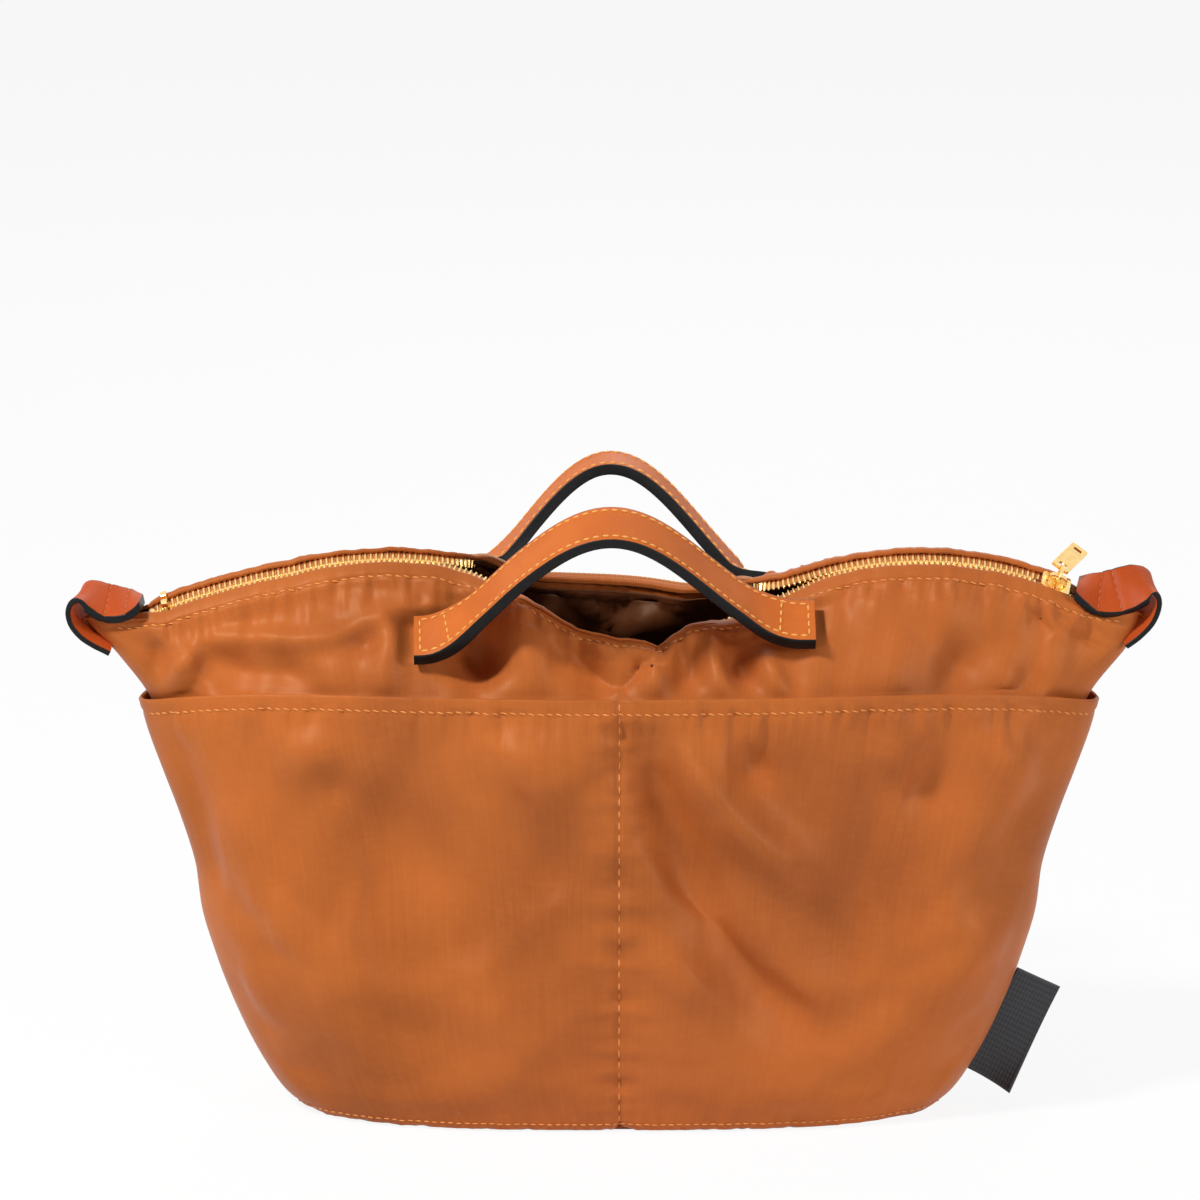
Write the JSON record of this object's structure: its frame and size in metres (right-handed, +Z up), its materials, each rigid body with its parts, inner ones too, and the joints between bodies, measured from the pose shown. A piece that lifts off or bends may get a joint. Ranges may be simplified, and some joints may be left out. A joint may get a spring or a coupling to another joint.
{
  "type": "purse organizer insert",
  "caption": "Soft nylon purse organizer with a boxed base, a curved zipped mouth, slip pockets outside and inside, arched leather handles and leather end loops.",
  "frame": {"origin": "middle of the underside of the base, where the organizer stands", "axes": "+X along the bag towards the end with the zipper slider and the side label, +Y from the front pocket side to the back, +Z up"},
  "size_m": [0.3978, 0.109, 0.2345],
  "materials": {
    "nylon": "satin",
    "lining": "matte",
    "board": "matte",
    "tape": "matte",
    "gold": "polished",
    "handle_leather": "satin",
    "loop_leather": "satin",
    "label": "satin"
  },
  "bodies": {
    "root": {"base_panel": "nylon", "base_board": "board", "base_lining": "lining", "front_wall": "nylon", "back_wall": "nylon", "front_pocket_panel": "nylon", "back_pocket_panel": "nylon", "front_lining": "lining", "back_lining": "lining", "front_inner_pocket": "lining", "back_inner_pocket": "lining", "front_zipper_tape": "tape", "back_zipper_tape": "tape", "front_zipper_teeth": "gold", "back_zipper_teeth": "gold", "front_top_stop": "gold", "back_top_stop": "gold", "bottom_stop": "gold", "front_handle_end_left": "handle_leather", "front_handle_end_right": "handle_leather", "back_handle_end_left": "handle_leather", "back_handle_end_right": "handle_leather", "left_end_loop": "loop_leather", "right_end_loop": "loop_leather"},
    "slider": {"slider_body": "gold", "slider_crown": "gold"},
    "pull_link": {"pull_link": "gold"},
    "pull_tab": {"pull_tab": "gold"},
    "front_handle": {"front_handle_face": "handle_leather", "front_handle_backing": "handle_leather"},
    "back_handle": {"back_handle_face": "handle_leather", "back_handle_backing": "handle_leather"},
    "side_label": {"side_label": "label"}
  },
  "joints": [
    {"name": "slider_travel", "type": "hinge", "parent": "root", "child": "slider", "pos_m": [0.11, 0, 0.0736], "axis": [0, 1, 0], "range_deg": [-37.4, 0]},
    {"name": "pull_link_swing", "type": "hinge", "parent": "slider", "child": "pull_link", "pos_m": [0.15992, -0.00272, 0.19701], "axis": [0.927, 0, -0.375], "range_deg": [0, 160]},
    {"name": "pull_tab_swing", "type": "hinge", "parent": "pull_link", "child": "pull_tab", "pos_m": [0.16092, 0.00227, 0.19947], "axis": [0.3311, -0.4695, 0.8185], "range_deg": [-30, 75]},
    {"name": "front_handle_fold", "type": "hinge", "parent": "root", "child": "front_handle", "pos_m": [0, -0.02876, 0.1974], "axis": [0.9998, 0.022, 0.0002], "range_deg": [-45, 90], "stiffness_Nm_per_rad": 0.03, "springref_deg": -1.38},
    {"name": "back_handle_fold", "type": "hinge", "parent": "root", "child": "back_handle", "pos_m": [0, 0.03163, 0.19665], "axis": [0.9999, -0.0115, 0.0008], "range_deg": [-90, 45], "stiffness_Nm_per_rad": 0.03, "springref_deg": 1.38},
    {"name": "label_flap", "type": "hinge", "parent": "root", "child": "side_label", "pos_m": [0.12845, 0, 0.00829], "axis": [0.4375, 0, 0.8992], "range_deg": [-60, 60]}
  ]
}
